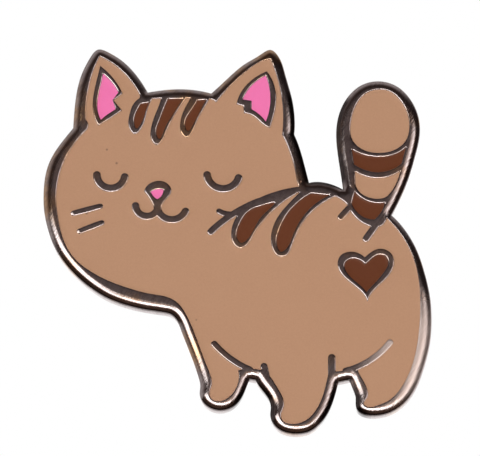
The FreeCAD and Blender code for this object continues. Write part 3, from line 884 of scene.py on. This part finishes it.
ahead = along(MIRROR)
half_turns = ahead.maths("ARCCOSINE") * (1 / math.pi)   # the angle away from MIRROR
spread = (1.0001 - ahead * ahead).maths("SQRT")     # its sine, kept a little above 0


def side(angle, low, high):
    """A mask that is 1 where the room lies towards an angle, and 0 well away from it."""
    return (along(around_mirror(angle)) / spread).clamped(low, high)


def rings(*stops):
    """Colours in rings around MIRROR, from stops of (degrees away from it, colour)."""
    stops = [(away / 180, rgb(*colour)) for away, colour in stops]
    return sky.add("ShaderNodeValToRGB", {"stops": stops}, {"Fac": half_turns})


# %% The windows, the shade and the table
FACING = (0.27, 0.22, 0.21)         # the room that the flat faces show
PANE = (5.8, 5.9, 5.8)              # the brightest part of a window
RIGHT_PANE = (3.8, 3.7, 3.6)
FRAME_EDGE = (0.8, 0.5, 0.32)       # the warm edge of a window
DARK = (0.03, 0.02, 0.02)
DARKEST = (0.02, 0.015, 0.015)

wide_window = rings(
    (0, FACING), (9, FACING), (13, (0.9, 0.6, 0.4)), (17, PANE), (40, PANE), (45, FRAME_EDGE),
    (52, DARK), (64, (0.12, 0.075, 0.05)), (78, DARKEST), (95, (0.05, 0.03, 0.02)),
)
low_window = rings(
    (0, FACING), (12, (0.30, 0.28, 0.27)), (22, (0.75, 0.56, 0.40)), (31, (1.3, 0.95, 0.65)),
    (36, PANE), (42, PANE), (46, FRAME_EDGE), (53, DARK), (64, (0.20, 0.12, 0.08)),
    (78, DARKEST), (95, (0.05, 0.03, 0.02)),
)
right_window = rings(
    (0, FACING), (9, FACING), (14, (0.8, 0.62, 0.5)), (19, (1.7, 1.5, 1.4)),
    (29, (1.9, 1.7, 1.6)), (32, RIGHT_PANE), (40, RIGHT_PANE), (45, (0.6, 0.36, 0.24)),
    (51, DARK), (95, (0.06, 0.04, 0.03)),
)
shade = rings(
    (0, FACING), (10, (0.15, 0.13, 0.13)), (20, (0.07, 0.05, 0.045)), (38, (0.09, 0.06, 0.05)),
    (54, (0.50, 0.46, 0.45)), (68, (0.85, 0.83, 0.82)),
)
shade = sky.mix(side(0, 0.45, 0.8), shade, rgb(0.04, 0.03, 0.03))
window = sky.mix(side(-148, 0.82, 0.97), low_window, wide_window)
window = sky.mix(side(-5, 0.78, 0.92), window, right_window)
room = sky.mix(side(-80, -0.05, 0.12), shade, window)
table = sky.add("ShaderNodeValToRGB", {"stops": [
    (0.00, rgb(0.05, 0.035, 0.03)), (0.05, rgb(0.30, 0.22, 0.18)), (0.12, rgb(1.0, 1.0, 1.0)),
    (0.55, rgb(1.1, 1.1, 1.1)), (0.74, rgb(0.45, 0.45, 0.46)), (0.86, rgb(0.35, 0.35, 0.36)),
    (0.95, rgb(1.7, 1.7, 1.7)), (1.00, rgb(1.7, 1.7, 1.7)),
]}, {"Fac": along(BEHIND)})

# %% The room lights the pin, and the camera sees white
room_and_table = sky.mix(along(BEHIND).clamped(-0.02, 0.02), room, table)
lit = sky.add("ShaderNodeBackground", {}, {"Color": room_and_table, "Strength": 1.0})
seen = sky.add("ShaderNodeBackground", {}, {"Color": rgb(1, 1, 1), "Strength": 1.0})
is_seen = sky.add("ShaderNodeLightPath", {}, {}, "Is Camera Ray")
mixed = sky.add("ShaderNodeMixShader", {}, {0: is_seen, 1: lit, 2: seen})
sky.add("ShaderNodeOutputWorld", {}, {"Surface": mixed})
print(f"the room is made of {len(sky.tree.nodes)} nodes")

# %% [markdown]
# ## A lamp in the low window
#
# The windows alone leave the enamel a little dull. A lamp with the shape of the low window lies
# in the same direction, so it adds light without adding a second bright line on the metal.

# %% Lamp
LAMP_AWAY = 300 * MM
LAMP_TURNED = math.radians(37.5)    # from MIRROR, straight down
LAMP_WIDTH, LAMP_HEIGHT = 0.43 * LAMP_AWAY, 0.13 * LAMP_AWAY
LAMP_RADIANCE = 10.5                # in watts for each square metre and steradian

lamp_light = bpy.data.lights.new("softbox_below", "AREA")
lamp_light.shape = "RECTANGLE"
lamp_light.size, lamp_light.size_y = LAMP_WIDTH, LAMP_HEIGHT
lamp_light.energy = LAMP_RADIANCE * math.pi * LAMP_WIDTH * LAMP_HEIGHT
lamp = bpy.data.objects.new("softbox_below", lamp_light)
lamp.location = LAMP_AWAY * (
    math.cos(LAMP_TURNED) * MIRROR + math.sin(LAMP_TURNED) * around_mirror(-90)
)
lamp.rotation_euler = (-lamp.location).to_track_quat("-Z", "Y").to_euler()
lamp.visible_camera = False
bpy.context.scene.collection.objects.link(lamp)
print(f"the lamp gives {lamp_light.energy:.2f} W")

# %% [markdown]
# ## The floor
#
# A wide, pale card lies well below the pin. It isn't part of the object, so it is marked as
# stage, and it doesn't show in the polished metal.

# %% Floor
FLOOR_BELOW = 0.3           # metres
FLOOR_REACH = 3             # metres from its middle to each side

shape = bmesh.new()
bmesh.ops.create_grid(shape, x_segments=1, y_segments=1, size=FLOOR_REACH)
mesh = bpy.data.meshes.new("floor")
shape.to_mesh(mesh)
shape.free()
floor = bpy.data.objects.new("floor", mesh)
floor.location.z = -FLOOR_BELOW
floor.visible_glossy = False
card = finish("pale_card")
mesh.materials.append(card.surface(Base_Color=rgb(0.85, 0.85, 0.84), Roughness=0.9))
bpy.context.scene.collection.objects.link(floor)
floor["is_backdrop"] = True
print(f"the floor is {2 * FLOOR_REACH} m wide and {FLOOR_BELOW} m below the pin's middle")

# %% [markdown]
# ## The sizes of the design and of the finished pieces
#
# The finished pieces fill nearly the same box as the design. The worn edges only take metal
# away, and the smoothed curves stand out by a few thousandths of a millimetre at most.

# %% Sizes
visual_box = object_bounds()
for name, corners in (("design", design_box), ("visual", visual_box)):
    print(name, "box in mm:", [[round(c / MM, 2) for c in corner] for corner in corners])
